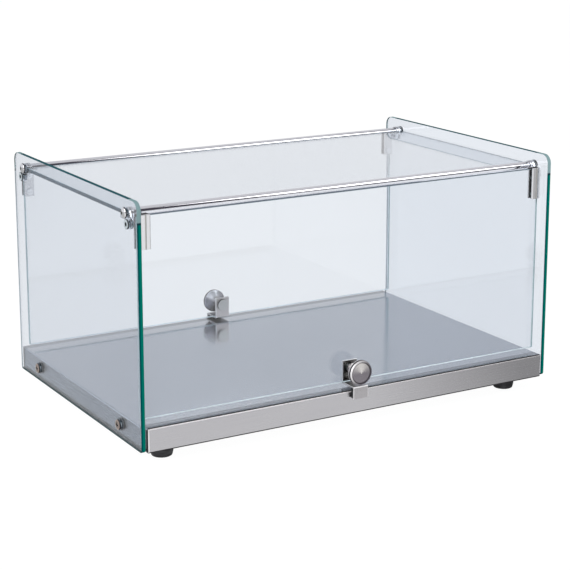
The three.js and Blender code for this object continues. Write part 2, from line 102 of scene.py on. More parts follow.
class Shader:
    """The node tree of a material or of the world, with short ways to add and join nodes."""

    def __init__(self, owner):
        owner.use_nodes = True
        self.material = owner
        self.tree = owner.node_tree
        self.surface = self.tree.nodes.get("Principled BSDF")
        self.output = self.tree.nodes.get("Material Output")

    def scaled(self, colour, factor):
        node = self.add("ShaderNodeVectorMath", operation="SCALE")
        self.join(colour, node.inputs[0])
        self.join(factor, node.inputs["Scale"])
        return node.outputs["Vector"]

    def position(self):
        """X, Y and Z in the frame, in metres."""
        coordinates = self.add("ShaderNodeTexCoord")
        split = self.add("ShaderNodeSeparateXYZ")
        self.join(coordinates.outputs["Object"], split.inputs["Vector"])
        return split.outputs

    def add(self, kind, **settings):
        node = self.tree.nodes.new(kind)
        for key, value in settings.items():
            setattr(node, key, value)
        return node

    def join(self, source, target):
        self.tree.links.new(source, target)

    def place(self, scale):
        """Object coordinates, which are metres in the frame, stretched by scale."""
        coordinates = self.add("ShaderNodeTexCoord")
        mapping = self.add("ShaderNodeMapping")
        mapping.inputs["Scale"].default_value = scale
        self.join(coordinates.outputs["Object"], mapping.inputs["Vector"])
        return mapping.outputs["Vector"]

    def noise(self, scale, detail=3.0, size=1.0):
        texture = self.add("ShaderNodeTexNoise")
        texture.inputs["Scale"].default_value = size
        texture.inputs["Detail"].default_value = detail
        self.join(self.place(scale), texture.inputs["Vector"])
        return texture.outputs["Fac"]

    def spread(self, source, low, high, start=0.0, end=1.0):
        """source, from start to end, turned into low to high."""
        node = self.add("ShaderNodeMapRange")
        node.inputs["From Min"].default_value = start
        node.inputs["From Max"].default_value = end
        node.inputs["To Min"].default_value = low
        node.inputs["To Max"].default_value = high
        self.join(source, node.inputs["Value"])
        return node.outputs["Result"]

    def maths(self, operation, a, b=0.0):
        node = self.add("ShaderNodeMath", operation=operation)
        for socket, value in zip(node.inputs, (a, b)):
            if isinstance(value, (int, float)):
                socket.default_value = value
            else:
                self.join(value, socket)
        return node.outputs["Value"]

    def blend(self, factor, first, second):
        node = self.add("ShaderNodeMix", data_type="RGBA")
        self.join(factor, node.inputs["Factor"])
        for name, value in (("A", first), ("B", second)):
            socket = next(s for s in node.inputs if s.name == name and s.type == "RGBA")
            if isinstance(value, tuple):
                socket.default_value = (*value, 1)
            else:
                self.join(value, socket)
        return next(s for s in node.outputs if s.type == "RGBA")

    def bump(self, height, strength, distance):
        node = self.add("ShaderNodeBump")
        node.inputs["Strength"].default_value = strength
        node.inputs["Distance"].default_value = distance
        self.join(height, node.inputs["Height"])
        self.join(node.outputs["Normal"], self.surface.inputs["Normal"])


# --- materials -----------------------------------------------------------------------------------

def new_shader(name):
    return Shader(bpy.data.materials.new(name))


def brushed(name, dark, light, rough, grain, depth=0.00002, metallic=1.0, shade=None):
    """Metal with a brushed grain; grain is the texture's scale along X, Y and Z.

    shade, if given, is a function of the shader that gives the factor the colour is dimmed by.
    """
    shader = new_shader(name)
    surface = shader.surface
    surface.inputs["Metallic"].default_value = metallic
    streaks = shader.noise(grain, detail=4.0)
    clouds = shader.noise((7, 7, 7), detail=2.0)
    mixed = shader.maths("ADD", shader.maths("MULTIPLY", streaks, 0.7),
                         shader.maths("MULTIPLY", clouds, 0.3))
    colour = shader.blend(shader.spread(mixed, 0, 1, 0.35, 0.65), dark, light)
    if shade:
        colour = shader.scaled(colour, shade(shader))
    shader.join(colour, surface.inputs["Base Color"])
    shader.join(shader.spread(mixed, rough[0], rough[1], 0.35, 0.65), surface.inputs["Roughness"])
    shader.bump(streaks, 0.25, depth)
    return shader.material


def polished(name, dark, light, rough):
    """Bright metal with faint polishing marks and a little haze."""
    shader = new_shader(name)
    surface = shader.surface
    surface.inputs["Metallic"].default_value = 1.0
    haze = shader.noise((60, 60, 60), detail=3.0)
    marks = shader.noise((900, 900, 900), detail=2.0)
    shader.join(shader.blend(haze, dark, light), surface.inputs["Base Color"])
    shader.join(shader.spread(haze, rough[0], rough[1], 0.3, 0.7), surface.inputs["Roughness"])
    shader.bump(marks, 0.08, 0.00001)
    return shader.material


def turned_steel(name, centre, low, high, lean=(0.0, 1.0), start=-0.3, metallic=1.0):
    """Steel turned on a lathe: fine rings round an axis along Y, and a painted highlight: a bright
    fan on one side and a bright spot at the middle.

    lean is the way the painted fan points, as its X and Z, and start is how far round it begins.
    """
    shader = new_shader(name)
    surface = shader.surface
    surface.inputs["Metallic"].default_value = metallic
    place = shader.position()
    across = shader.maths("SUBTRACT", place["X"], centre.x)
    up = shader.maths("SUBTRACT", place["Z"], centre.z)
    radius = shader.maths("SQRT", shader.maths("ADD", shader.maths("MULTIPLY", across, across),
                                               shader.maths("MULTIPLY", up, up)))
    rings = shader.add("ShaderNodeTexNoise", noise_dimensions="1D")
    rings.inputs["Scale"].default_value = 2600
    rings.inputs["Detail"].default_value = 3
    shader.join(radius, rings.inputs["W"])
    towards = shader.maths("ADD", shader.maths("MULTIPLY", across, lean[0]),
                           shader.maths("MULTIPLY", up, lean[1]))
    towards = shader.maths("DIVIDE", towards, shader.maths("MAXIMUM", radius, 0.1 * MM))
    fan = shader.maths("POWER", shader.spread(towards, 0, 1, start, 1.0), 1.8)
    bright = shader.maths("MAXIMUM", fan, shader.spread(radius, 1, 0, 0.4 * MM, 1.0 * MM))
    cut = shader.spread(rings.outputs["Fac"], 0.84, 1.12, 0.3, 0.7)
    shader.join(shader.scaled(shader.blend(bright, low, high), cut), surface.inputs["Base Color"])
    shader.join(shader.spread(rings.outputs["Fac"], 0.18, 0.32), surface.inputs["Roughness"])
    surface.inputs["Anisotropic"].default_value = 0.6
    tangent = shader.add("ShaderNodeTangent", direction_type="RADIAL", axis="Y")
    shader.join(tangent.outputs["Tangent"], surface.inputs["Tangent"])
    shader.bump(rings.outputs["Fac"], 0.3, 0.00002)
    return shader.material


def matt(name, dark, light):
    """Dull finish with a fine grain, which mirrors nothing."""
    shader = new_shader(name)
    surface = shader.surface
    grain = shader.noise((900, 900, 900), detail=3.0)
    shader.join(shader.blend(grain, dark, light), surface.inputs["Base Color"])
    shader.join(shader.spread(grain, 0.6, 0.8), surface.inputs["Roughness"])
    surface.inputs["Specular IOR Level"].default_value = 0.0
    shader.bump(grain, 0.2, 0.00002)
    return shader.material


def rubber(name, dark, light, rough=(0.5, 0.72)):
    shader = new_shader(name)
    grain = shader.noise((1400, 1400, 1400), detail=3.0)
    dust = shader.noise((90, 90, 160), detail=4.0)
    tone = shader.spread(dust, 0, 1, 0.4, 0.75)
    shader.join(shader.blend(tone, dark, light), shader.surface.inputs["Base Color"])
    shader.join(shader.spread(grain, rough[0], rough[1]), shader.surface.inputs["Roughness"])
    shader.bump(grain, 0.4, 0.00008)
    return shader.material


def clear_glass(name, tint, seat=None):
    """A sheet's two faces: clear glass with faint wiping marks, which lets lamps through.

    Below its seat's height, if one is given, the faces are painted as dark as the edge under them,
    a painted shade where the glass meets the base.
    """
    shader = new_shader(name)
    surface = shader.surface
    surface.inputs["Base Color"].default_value = (*tint, 1)
    surface.inputs["Transmission Weight"].default_value = 1.0
    surface.inputs["IOR"].default_value = 1.46
    wiped = shader.noise((9, 9, 14), detail=5.0)
    shader.join(shader.spread(wiped, 0.0, 0.012, 0.5, 0.8), surface.inputs["Roughness"])
    lamps = shader.add("ShaderNodeBsdfTransparent")
    lamps.inputs["Color"].default_value = (*tint, 1)
    path = shader.add("ShaderNodeLightPath")
    mix = shader.add("ShaderNodeMixShader")
    shader.join(path.outputs["Is Shadow Ray"], mix.inputs[0])
    shader.join(surface.outputs["BSDF"], mix.inputs[1])
    shader.join(lamps.outputs["BSDF"], mix.inputs[2])
    if seat is not None:
        dark = shader.add("ShaderNodeBsdfDiffuse")
        dark.inputs["Color"].default_value = (*EDGE_BOTTOM, 1)
        seated = shader.add("ShaderNodeMixShader")
        shader.join(shader.maths("LESS_THAN", shader.position()["Z"], seat), seated.inputs[0])
        shader.join(mix.outputs["Shader"], seated.inputs[1])
        shader.join(dark.outputs["BSDF"], seated.inputs[2])
        mix = seated
    shader.join(mix.outputs["Shader"], shader.output.inputs["Surface"])
    return shader.material


def glass_edge(name, across, low, high, deep, green, ends, corner=None):
    """Polished edge of a sheet: two bands across its thickness, from low to high along an axis.

    ends are the tones of the top edge and of the bottom edge, painted lighter or darker by how
    light falls on each, and the height between them. Round a top corner, if one is given, the edge
    is painted pale as a highlight, with a painted dark line where the pale part ends, and an
    upright edge seen from inside the sheet is painted pale too, as a painted reflection.
    """
    shader = new_shader(name)
    surface = shader.surface
    place = shader.position()
    colour = shader.blend(shader.spread(place[across], 0, 1, low, high), deep, green)
    facing = shader.add("ShaderNodeNewGeometry")
    if corner is not None:
        colour = shader.blend(facing.outputs["Backfacing"], colour, EDGE_INSIDE)
    facing_split = shader.add("ShaderNodeSeparateXYZ")
    shader.join(facing.outputs["Normal"], facing_split.inputs["Vector"])
    level = shader.spread(shader.maths("ABSOLUTE", facing_split.outputs["Z"]), 0, 1, 0.5, 0.8)
    top, bottom, halfway = ends
    end_tone = shader.blend(shader.maths("GREATER_THAN", place["Z"], halfway), bottom, top)
    colour = shader.blend(level, colour, end_tone)
    if corner is not None:
        along = shader.maths("SUBTRACT", shader.maths("ABSOLUTE", place["Y"]), corner.y)
        up = shader.maths("SUBTRACT", place["Z"], corner.z)
        reached = shader.maths("MAXIMUM", shader.maths("ABSOLUTE", along),
                               shader.maths("ABSOLUTE", up))
        dark = shader.spread(reached, 1, 0, PALE_REACH + LINE_START, PALE_REACH + LINE_END)
        pale = shader.spread(reached, 1, 0, PALE_REACH - PALE_FADE, PALE_REACH)
        colour = shader.blend(dark, colour, EDGE_LINE)
        colour = shader.blend(pale, colour, EDGE_PALE)
    drift = shader.spread(shader.noise((14, 14, 10), detail=2.0), 0.86, 1.1, 0.3, 0.7)
    shader.join(shader.scaled(colour, drift), surface.inputs["Base Color"])
    surface.inputs["Specular IOR Level"].default_value = 0.0
    grind = shader.noise((260, 260, 260), detail=3.0)
    shader.join(shader.spread(grind, 0.08, 0.2), surface.inputs["Roughness"])
    shader.bump(grind, 0.1, 0.00003)
    return shader.material


# --- mesh helpers --------------------------------------------------------------------------------

def rounded(outline):
    """Outline of (radius, along, corner) points with each corner rounded by its own radius."""
    done = [outline[0][:2]]
    for before, here, after in zip(outline, outline[1:], outline[2:]):
        corner = Vector(here[:2])
        if not here[2]:
            done.append(here[:2])
            continue
        back = (Vector(before[:2]) - corner).normalized()
        on = (Vector(after[:2]) - corner).normalized()
        half = back.angle(on) / 2
        centre = corner + (back + on).normalized() * here[2] / sin(half)
        reach = here[2] / tan(half)
        start, end = corner + back * reach, corner + on * reach
        for step in range(ROUND_STEPS + 1):
            spoke = (start.lerp(end, step / ROUND_STEPS) - centre).normalized()
            done.append(tuple(centre + spoke * here[2]))
    return done + [outline[-1][:2]]


def ring_scale(sides, angle):
    """How far a polygon with that many sides lies from its middle, over its inscribed radius."""
    if not sides:
        return 1.0
    part = 2 * pi / sides
    return 1 / cos((angle + part / 2) % part - part / 2)


def turned(name, rings, origin, axis, material):
    """Closed turned piece from rings of (radius, along, sides) in millimetres."""
    up = Vector((0, 0, 1)) if abs(axis.z) < 0.5 else Vector((0, 1, 0))
    across = axis.cross(up).normalized()
    over = across.cross(axis).normalized()
    shape = bmesh.new()
    rows = []
    for radius, along, sides in rings:
        start = origin + axis * along * MM
        if radius < 1e-6:
            rows.append([shape.verts.new(start)])
            continue
        row = []
        for step in range(SEGMENTS):
            angle = 2 * pi * step / SEGMENTS
            length = radius * ring_scale(sides, angle) * MM
            row.append(shape.verts.new(start + (across * cos(angle) + over * sin(angle)) * length))
        rows.append(row)
    for first, second in zip(rows, rows[1:]):
        for step in range(SEGMENTS):
            after = (step + 1) % SEGMENTS
            corners = [first[step % len(first)], first[after % len(first)],
                       second[after % len(second)], second[step % len(second)]]
            unique = list(dict.fromkeys(corners))
            if len(unique) > 2:
                shape.faces.new(unique)
    return finished(name, shape, material)


def finished(name, shape, material):
    bmesh.ops.recalc_face_normals(shape, faces=shape.faces)
    mesh = bpy.data.meshes.new(name)
    shape.to_mesh(mesh)
    shape.free()
    mesh.shade_smooth()
    mesh.set_sharp_from_angle(angle=radians(SHARP_ANGLE))
    mesh.materials.append(material)
    piece = bpy.data.objects.new(name, mesh)
    bpy.context.scene.collection.objects.link(piece)
    return piece


def prism(name, outline, origin, along, across, out, length, material):
    """Bar with an outline of (across, out) points in millimetres, from origin along a direction."""
    shape = bmesh.new()
    ends = []
    for distance in (0, length):
        base = origin + along * distance
        ends.append([shape.verts.new(base + (across * a + out * b) * MM) for a, b in outline])
    count = len(outline)
    for step in range(count):
        after = (step + 1) % count
        shape.faces.new([ends[0][step], ends[0][after], ends[1][after], ends[1][step]])
    shape.faces.new(ends[0])
    shape.faces.new(ends[1])
    return finished(name, shape, material)


def edge_bevel(piece, width, segments=3, angle=30):
    bevel = piece.modifiers.new("bevel", "BEVEL")
    bevel.width = width
    bevel.segments = segments
    bevel.limit_method = "ANGLE"
    bevel.angle_limit = radians(angle)
    bevel.harden_normals = True


def dress(node, material, bevel=0.0):
    """A CAD node that keeps its own shape: its material, smooth shading and softened edges."""
    piece = NODES[node]
    mesh = piece.data
    mesh.materials.clear()
    mesh.materials.append(material)
    if "custom_normal" in mesh.attributes:
        mesh.attributes.remove(mesh.attributes["custom_normal"])
    mesh.shade_smooth()
    weld = piece.modifiers.new("weld", "WELD")
    weld.merge_threshold = 0.00001
    if bevel:
        edge_bevel(piece, bevel, 2)
    else:
        split = piece.modifiers.new("edges", "EDGE_SPLIT")
        split.split_angle = radians(SHARP_ANGLE)
    piece.modifiers.new("normals", "WEIGHTED_NORMAL")


def dress_by(node, materials, pick):
    """A CAD node whose faces take different materials; pick gives the index for a face."""
    dress(node, materials[0])
    mesh = NODES[node].data
    for material in materials[1:]:
        mesh.materials.append(material)
    for polygon in mesh.polygons:
        polygon.material_index = pick(polygon)


def by_lean(axis):
    """Picks 0 for faces square to an axis, 1 for faces along it and 2 for slanting ones."""
    def pick(polygon):
        lean = abs(polygon.normal[axis])
        return 0 if lean > 0.95 else 1 if lean < 0.3 else 2
    return pick


def paint(piece, material, wanted):
    """Gives the faces that are wanted another material."""
    mesh = piece.data
    mesh.materials.append(material)
    for polygon in mesh.polygons:
        if wanted(polygon):
            polygon.material_index = len(mesh.materials) - 1


def between(origin, axis, radii, lengths):
    """Tells whether a face lies between two radii and two distances along an axis, in mm."""
    def wanted(polygon):
        place = (polygon.center - origin) / MM
        along = place.dot(axis)
        radius = (place - axis * along).length
        return radii[0] < radius < radii[1] and lengths[0] < along < lengths[1]
    return wanted


def put(piece, body, slot, *nodes):
    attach(piece, body)
    if nodes:
        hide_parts(*nodes)


# --- finishes, with painted light and shade ------------------------------------------------------

# Side glass's edges: two bands, the top and bottom, an upright edge from inside, round a top
# corner;
# the top and bottom tones, the pale tones and the dark line are painted light and shade
DEEP_TEAL = (0.0, 0.068, 0.07)
EDGE_GREEN = (0.0, 0.145, 0.107)
EDGE_TOP = (0.03, 0.09, 0.105)
EDGE_INSIDE = (0.52, 0.57, 0.60)
EDGE_BOTTOM = (0.004, 0.04, 0.045)
EDGE_LINE = (0.008, 0.035, 0.045)
EDGE_PALE = (0.19, 0.285, 0.295)
# How far the painted pale stretch (a painted highlight) round a top corner reaches, how it fades,
# and the painted dark line beyond it
PALE_REACH = 23 * MM
PALE_FADE = 1.2 * MM
LINE_START = 1.6 * MM
LINE_END = 2.4 * MM
# How high the painted shade at the foot of the side glass's faces is
SEAT_SHADE_HEIGHT = 1.6 * MM
# Edges of the doors and of the top glass, and every ground corner; the doors' dark top edge and
# pale bottom edge, and the pale ground corners, are painted light and shade
DOOR_EDGE_DEEP = (0.30, 0.42, 0.44)
DOOR_EDGE_PALE = (0.48, 0.60, 0.62)
DOOR_EDGE_TOP = (0.11, 0.13, 0.16)
DOOR_EDGE_BOTTOM = (0.82, 0.90, 0.93)
SLATE_DEEP = (0.055, 0.09, 0.12)
SLATE_PALE = (0.08, 0.12, 0.15)
ARRIS_PALE = (0.52, 0.62, 0.64)


# Tints of the faces
DOOR_TINT = (0.885, 0.905, 0.93)
SIDE_TINT = (0.80, 0.835, 0.885)
TOP_TINT = (0.87, 0.905, 0.935)


def painted_shade_outside_doors(shader):
    """Painted shade: darker outside the doors than between them."""
    door = -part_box("door_glass_front")[0].y
    beyond = shader.maths("ABSOLUTE", shader.position()["Y"])
    return shader.spread(beyond, 1, 0.64, door, door + 2 * MM)


def painted_shade_beside_glass(shader):
    """Painted shade: dimmer towards the front, and dark from just inside the side glass's front and
    rear edges.
    """
    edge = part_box("side_glass_left")[1].y
    place = shader.position()
    dim = shader.spread(place["Y"], 0.88, 1, -edge, edge)
    gap = shader.spread(shader.maths("ABSOLUTE", place["Y"]), 1, 0.12, edge - 3 * MM,
                        edge - 2.6 * MM)
    return shader.maths("MULTIPLY", dim, gap)


def highlight_fading_right(shader):
    """Painted highlight falloff: full on the left, and less than half at the right-hand end."""
    return shader.spread(shader.position()["X"], 1, 0.45, cad_box[0].x * 0.5, cad_box[1].x)


# The deck carries painted shade outside the doors.
deck_steel = brushed("deck_steel", (0.60, 0.635, 0.68), (0.64, 0.675, 0.715), (0.12, 0.15),
                     (5, 1100, 1100), 0.000003, shade=painted_shade_outside_doors)
wall_steel = brushed("wall_steel", (0.445, 0.44, 0.46), (0.475, 0.47, 0.485), (0.24, 0.28),
                     (9, 1100, 1100), 0.000002)
# The side walls take a darker, bluer copy of the wall steel, a painted shade, dimmed further
# towards the front and in the gaps beyond the side glass.
painted_shade_side_steel = brushed("painted_shade_side_steel", (0.30, 0.33, 0.365), (0.323, 0.353, 0.388), (0.24, 0.28),
                     (1100, 9, 1100), 0.000002, shade=painted_shade_beside_glass)
# Painted shade and dark reflection: the dark lines on the base's bends, round the knob's rim and in
# its groove, and on the sides of the rail bolts' and knob bolts' heads.
painted_dark_shade = matt("painted_dark_shade", (0.03, 0.028, 0.031), (0.055, 0.052, 0.056))
# Painted highlight: the bright line along the bends of the front and rear walls, fading towards the
# right.
painted_bend_highlight = brushed("painted_bend_highlight", (0.80, 0.785, 0.79), (0.90, 0.885, 0.89), (0.3, 0.42),
                      (9, 1100, 1100), 0.000002, metallic=0.4, shade=highlight_fading_right)
# Painted highlight: the bright top edge and bevels of the door clips.
painted_edge_highlight = brushed("painted_edge_highlight", (0.80, 0.785, 0.79), (0.90, 0.885, 0.89), (0.3, 0.42),
                      (400, 400, 400), 0.000003, metallic=0.4)
galvanised = brushed("galvanised_sheet", (0.32, 0.34, 0.36), (0.47, 0.49, 0.51), (0.38, 0.6),
                     (70, 70, 70))
clip_steel = brushed("clip_steel", (0.35, 0.34, 0.355), (0.42, 0.41, 0.42), (0.26, 0.36),
                     (1500, 60, 1500))
plate_steel = brushed("plate_steel", (0.47, 0.43, 0.42), (0.56, 0.52, 0.50), (0.26, 0.36),
                      (1500, 60, 1500))
# Painted shade: the clip plate's face where it lies against the glass.
painted_shadow_steel = polished("painted_shadow_steel", (0.05, 0.047, 0.043), (0.13, 0.12, 0.105), (0.18, 0.3))
# Satin steel for bolt faces; along the clamp covers' groove it serves as painted shade.
satin_steel_and_groove_shade = polished("satin_steel_and_groove_shade", (0.47, 0.465, 0.445), (0.60, 0.59, 0.565), (0.28, 0.4))
screw_steel = polished("screw_steel", (0.44, 0.36, 0.32), (0.62, 0.54, 0.49), (0.2, 0.34))
chrome = polished("chrome", (0.74, 0.75, 0.78), (0.86, 0.87, 0.89), (0.04, 0.1))
plate_chrome = polished("plate_chrome", (0.64, 0.64, 0.66), (0.74, 0.74, 0.76), (0.14, 0.22))
rail_chrome = polished("rail_chrome", (0.78, 0.78, 0.82), (0.88, 0.88, 0.91), (0.03, 0.07))
foot_rubber = rubber("foot_rubber", (0.012, 0.012, 0.014), (0.05, 0.05, 0.055))
pad_rubber = rubber("pad_rubber", (0.006, 0.006, 0.007), (0.02, 0.02, 0.022))
# Painted shade: black in the bolt sockets and on the screw heads' rims and recesses.
painted_black_shade = rubber("painted_black_shade", (0.008, 0.01, 0.014), (0.03, 0.034, 0.04), (0.35, 0.5))
washer_nylon = rubber("washer_nylon", (0.03, 0.035, 0.04), (0.07, 0.08, 0.09), (0.35, 0.5))
fitting_nylon = rubber("fitting_nylon", (0.40, 0.46, 0.49), (0.56, 0.62, 0.65), (0.25, 0.4))


# --- glass ---------------------------------------------------------------------------------------

def dress_glass():
    arris = glass_edge("glass_arris", "Z", 0, 0.3, ARRIS_PALE, ARRIS_PALE,
                       (ARRIS_PALE, ARRIS_PALE, 0))
    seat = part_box("side_glass_left")[0].z + SEAT_SHADE_HEIGHT
    side_faces = clear_glass("side_glass_faces", SIDE_TINT, seat)
    for side in SIDES:
        node = f"side_glass_{side}"
        low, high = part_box(node)
        edge = glass_edge(f"{node}_edge", "X", low.x + 1.6 * MM, low.x + 2.4 * MM, DEEP_TEAL,
                          EDGE_GREEN, (EDGE_TOP, EDGE_BOTTOM, middle(node).z), high)
        dress_by(node, (side_faces, edge, edge), by_lean(0))
    door_faces = clear_glass("door_glass_faces", DOOR_TINT)
    for end in ENDS:
        node = f"door_glass_{end}"
        low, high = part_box(node)
        edge = glass_edge(f"{node}_edge", "Y", low.y, high.y, DOOR_EDGE_DEEP, DOOR_EDGE_PALE,
                          (DOOR_EDGE_TOP, DOOR_EDGE_BOTTOM, middle(node).z))
        dress_by(node, (door_faces, edge, edge), by_lean(1))
    low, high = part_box("top_glass")
    edge = glass_edge("top_glass_edge", "Z", low.z, high.z, SLATE_DEEP, SLATE_PALE,
                      (SLATE_PALE, SLATE_PALE, 0))
    faces = clear_glass("top_glass_faces", TOP_TINT)
    dress_by("top_glass", (faces, edge, arris), by_lean(2))


# --- base ----------------------------------------------------------------------------------------

def base_face(polygon):
    """Picks deck, wall, side wall, or, on the bends of the front and rear walls, a dark or a bright
    line: painted shade on the side walls and in the dark line, a painted highlight in the bright
    one.
    """
    across, ahead, up = (abs(part) for part in polygon.normal)
    if up > 0.995:
        return 0
    if ahead > 0.995:
        return 1
    if across > 0.995:
        return 4
    if polygon.normal.z < -0.1:
        return 2
    if ahead < 0.1:
        return 0
    if ahead < 0.8:
        return 2
    return 1 if polygon.normal.x > 0.1 else 3


def near_x(face):
    """Picks 0 for faces within a recess's edge of a screw head's outer face, 1 for the others,
    which are painted dark as shade.
    """
    return lambda polygon: 0 if abs(polygon.center.x - face) < 0.75 * MM else 1


def dress_base():
    finishes_and_painted_light = (deck_steel, wall_steel, painted_dark_shade, painted_bend_highlight, painted_shade_side_steel)
    dress_by("base_shell", finishes_and_painted_light, base_face)
    dress("deck_stiffener", galvanised)
    for corner in CORNERS:
        node = f"base_screw_{corner}"
        low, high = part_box(node)
        dress_by(node, (screw_steel, painted_black_shade), near_x(low.x if "left" in corner else high.x))
        edge_bevel(NODES[node], 0.15 * MM, 2)
        dress(f"glass_spacer_{corner}", washer_nylon)


def make_foot(corner):
    """Rubber foot: domed skirt with a groove, and a steel screw and washer up its middle."""
    node = f"foot_{corner}"
    low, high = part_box(node)
    base = middle(node)
    base.z = low.z
    r = (high.x - low.x) / 2 / MM
    h = (high.z - low.z) / MM
    outline = [
        (2.4, h, 0), (2.4, h * 0.5, 0), (6.2, h * 0.5, 0.3), (6.2, 0, 0.8), (r * 0.88, 0, 1.4),
        (r * 0.97, h * 0.3, 1.5), (r, h * 0.52, 0.6), (r - 0.9, h * 0.56, 0.2),
        (r - 0.9, h * 0.62, 0.2), (r, h * 0.66, 0.5), (r, h, 0.9), (2.4, h, 0),
    ]
    rings = [(radius, along, 0) for radius, along in rounded(outline)]
    skirt = turned(f"{node}_rubber", rings, base, Vector((0, 0, 1)), foot_rubber)
    put(skirt, "case", "foot_rubber", node)
    seat = h * 0.5
    head = [(0, seat - 2.2, 6), (1.7, seat - 2.2, 6), (1.7, seat - 3.4, 6), (4.3, seat - 3.4, 0),
            (4.7, seat - 3.0, 0), (4.7, seat - 1.2, 0), (5.8, seat - 1.2, 0), (5.8, seat - 0.1, 0),
            (0, seat - 0.1, 0)]
    screw = turned(f"{node}_screw", head, base, Vector((0, 0, 1)), chrome)
    put(screw, "case", "screw_steel")


# --- rails and their bolts -----------------------------------------------------------------------

def make_rail(end):
    node = f"rail_{end}"
    low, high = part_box(node)
    length = (high.x - low.x) / MM
    r = (high.z - low.z) / 2 / MM
    spigot, shoulder = 3.3, 3.5
    outline = [
        (0, 0, 0), (spigot, 0, 0.3), (spigot, shoulder, 0.1), (r, shoulder, 0.5),
        (r, length - shoulder, 0.5), (spigot, length - shoulder, 0.1), (spigot, length, 0.3),
        (0, length, 0),
    ]
    rings = [(radius, along, 0) for radius, along in rounded(outline)]
    start = Vector((low.x, middle(node).y, middle(node).z))
    bar = turned(f"{node}_bar", rings, start, Vector((1, 0, 0)), rail_chrome)
    put(bar, "case", "polished_steel", node)


def bolt_rings(r, h, dome, socket, depth):
    """Bolt head from its seat to its top: flat or domed, with a hexagon socket."""
    if dome:
        steps = 7
        head = [(0, 0, 0), (r, 0, 0), (r, h * 0.22, 0)]
        for step in range(1, steps):
            lean = pi / 2 * step / steps
            head.append((r * cos(lean) * 0.98 + 0.02 * r, h * 0.22 + h * 0.78 * sin(lean), 0))
        head = [ring for ring in head if ring[0] == 0 or ring[0] > socket * 1.35]
    else:
        head = [(0, 0, 0), (r, 0, 0), (r, h - 0.5, 0), (r - 0.15, h - 0.15, 0), (r - 0.5, h, 0)]
    return [*head, (socket * 1.3, h, 0), (socket * 1.04, h, 6), (socket, h - 0.15, 6),
            (socket, h - depth, 6), (0, h - depth - 0.6, 0)]


def make_bolts(corner):
    """Domed bolt into the rail, and a flat one with a pale cap into the corner bracket."""
    side = corner.split("_")[1]
    out = sideways(side)
    glass_low, glass_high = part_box(f"side_glass_{side}")
    face = glass_high.x if side == "right" else glass_low.x
    kinds = (("rail_bolt", True, 1.5, 1.4, chrome, painted_dark_shade),
             ("bracket_bolt", False, 2.2, 1.1, fitting_nylon, washer_nylon))
    for kind, dome, socket, depth, material, rim in kinds:
        node = f"{kind}_{corner}"
        low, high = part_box(node)
        start = Vector((face + out.x * 0.2 * MM, middle(node).y, middle(node).z))
        tip = high.x if side == "right" else low.x
        height = abs(tip - start.x) / MM
        radius = (high.z - low.z) / 2 / MM
        rings = bolt_rings(radius, height, dome, socket, depth)
        head = turned(f"{node}_head", rings, start, out, material)
        paint(head, satin_steel_and_groove_shade, between(start, out, (0.1, radius * 0.98), (-0.05, 0.05)))
        # The head's side takes the rim material, painted shade on the rail bolt, and the socket is
        # painted black as shade.
        paint(head, rim, between(start, out, (radius * 0.94, radius + 1), (-1, height)))
        recess = (height - depth - 1, height - 0.05)
        paint(head, painted_black_shade, between(start, out, (-1, socket * 1.2), recess))
        put(head, "case", "chrome", node)


# --- door furniture ------------------------------------------------------------------------------

def make_knob(end):
    """Knob turned from bar: seat, waist, flared body, rim and a ringed face, with painted
    highlights on the face and rim and painted shade round the rim's side and in the face's groove.
    """
    node = f"knob_{end}"
    low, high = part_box(node)
    out = outward(end)
    centre = middle(node)
    start = Vector((centre.x, high.y if end == "front" else low.y, centre.z))
    length = (high.y - low.y) / MM
    r = (high.z - low.z) / 2 / MM
    outline = [
        (0, 0.05, 0), (6.5, 0.05, 0.2), (6.5, 1.6, 0.4), (5.0, 2.4, 1.0), (5.0, 8.0, 2.5),
        (8.0, 12.0, 2.0), (r - 1.2, length - 5.8, 1.0), (r, length - 5.0, 0.3),
        (r, length - 4.2, 0.1), (r - 0.2, length - 4.1, 0), (r - 0.2, length - 1.4, 0),
        (r - 0.1, length - 1.3, 0.1), (r - 0.5, length - 0.5, 0.5), (r - 2.0, length - 0.1, 0.3),
        (r - 2.2, length - 1.5, 0), (r - 2.8, length - 1.5, 0), (r - 3.0, length - 0.8, 0.3),
        (0, length, 0),
    ]
    rings = [(radius, along, 0) for radius, along in rounded(outline)]
    # Both steels carry a painted highlight, a bright fan over a darker tone: upwards on the body
    # and face, towards the upper left on the rim.
    metal = turned_steel(f"{node}_steel", centre, (0.20, 0.185, 0.205), (0.62, 0.60, 0.585))
    rim = turned_steel(f"{node}_rim", centre, (0.10, 0.09, 0.11), (0.95, 0.93, 0.93),
                       (-0.8, 0.6), -0.7, 0.5)
    knob = turned(f"{node}_body", rings, start, out, metal)
    # Painted light on the rim: a bright ring on its face and a thin bright line on its side;
    # painted shade as a dark band round its side and in the face's groove.
    paint(knob, rim, between(start, out, (r - 2.3, r), (length - 1.35, length)))
    paint(knob, rim, between(start, out, (r - 0.2, r), (length - 5.1, length - 4.15)))
    paint(knob, painted_dark_shade, between(start, out, (r - 0.4, r), (length - 4.15, length - 1.35)))
    paint(knob, painted_dark_shade, between(start, out, (r - 3, r - 2.1), (length - 1.6, length - 1)))
    put(knob, f"door_{end}", "knob_steel", node)


